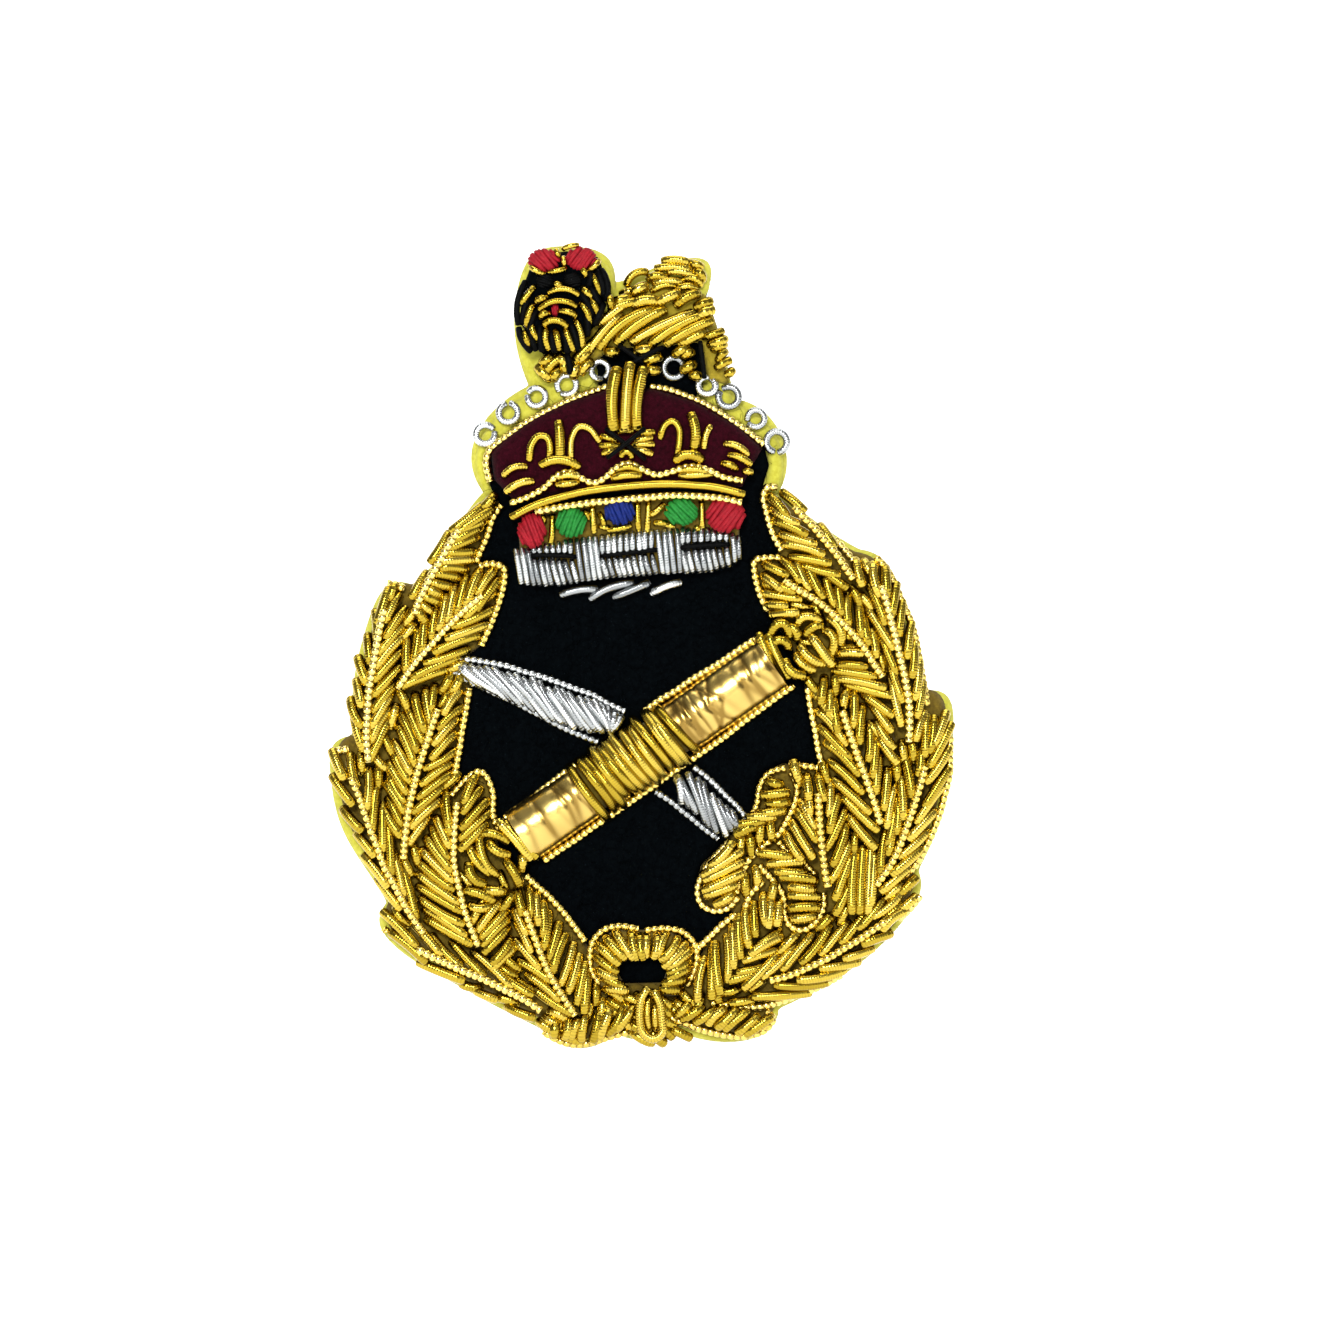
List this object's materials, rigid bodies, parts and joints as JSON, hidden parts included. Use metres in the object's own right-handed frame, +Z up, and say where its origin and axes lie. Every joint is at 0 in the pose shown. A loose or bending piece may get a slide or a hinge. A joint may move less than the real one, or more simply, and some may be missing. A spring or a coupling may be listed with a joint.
{
  "type": "cap badge",
  "caption": "Hand-embroidered bullion cap badge: a standing lion on a velvet-capped crown, laurel wreath, crossed sword and baton, and a ribbon bow, on shaped felt.",
  "frame": {"origin": "centre of the badge's flat back, at the middle of its width and height", "axes": "+Z up the badge towards the lion, +X to the viewer's right, the embroidered front faces -Y and the flat back faces +Y"},
  "size_m": [0.0604, 0.0057, 0.0777],
  "materials": {
    "gold_purl": "polished",
    "gilt_plate": "polished",
    "silver_purl": "polished",
    "black_felt": "matte",
    "black_lining": "matte",
    "grey_buckram": "matte",
    "yellow_felt": "matte",
    "amber_felt": "matte",
    "maroon_velvet": "matte",
    "red_thread": "satin",
    "green_thread": "satin",
    "blue_thread": "satin",
    "black_thread": "satin"
  },
  "bodies": {
    "root": {"backing_lining": "black_lining", "baton_core": "amber_felt", "baton_plates": "gilt_plate", "baton_purl": "gold_purl", "bow_edging": "gold_purl", "bow_knot": "gold_purl", "bow_loops_purl": "gold_purl", "bow_pads": "amber_felt", "bow_tails_purl": "gold_purl", "circlet_pad": "amber_felt", "circlet_purl": "gold_purl", "crown_arch_and_rim": "gold_purl", "crown_black_threads": "black_thread", "crown_cap": "maroon_velvet", "crown_cross": "gold_purl", "crown_edging": "gold_purl", "crown_fleurs": "gold_purl", "crown_pearls": "silver_purl", "edge_felt": "yellow_felt", "ermine_fringe": "silver_purl", "ermine_purl": "silver_purl", "gold_edging": "gold_purl", "ground_cloth": "black_felt", "hilt_purl": "gold_purl", "jewel_blue": "blue_thread", "jewels_green": "green_thread", "jewels_red": "red_thread", "left_leaf_1": "gold_purl", "left_leaf_2": "gold_purl", "left_leaf_3": "gold_purl", "left_leaf_4": "gold_purl", "left_leaf_5": "gold_purl", "left_leaf_6": "gold_purl", "left_leaf_7": "gold_purl", "left_leaf_8": "gold_purl", "left_leaf_edging": "gold_purl", "left_leaf_ribs": "gold_purl", "lion_body_purl": "gold_purl", "lion_cap": "red_thread", "lion_eyes": "black_thread", "lion_face_purl": "gold_purl", "lion_head_pad": "black_felt", "lion_mane_purl": "gold_purl", "lion_mane_threads": "black_thread", "lion_mouth": "red_thread", "lion_pad": "yellow_felt", "right_leaf_1": "gold_purl", "right_leaf_2": "gold_purl", "right_leaf_3": "gold_purl", "right_leaf_4": "gold_purl", "right_leaf_5": "gold_purl", "right_leaf_6": "gold_purl", "right_leaf_7": "gold_purl", "right_leaf_8": "gold_purl", "right_leaf_edging": "gold_purl", "right_leaf_ribs": "gold_purl", "stiffener": "grey_buckram", "sword_blade_purl": "silver_purl", "sword_edging": "silver_purl", "wreath_pads": "amber_felt"}
  },
  "joints": []
}
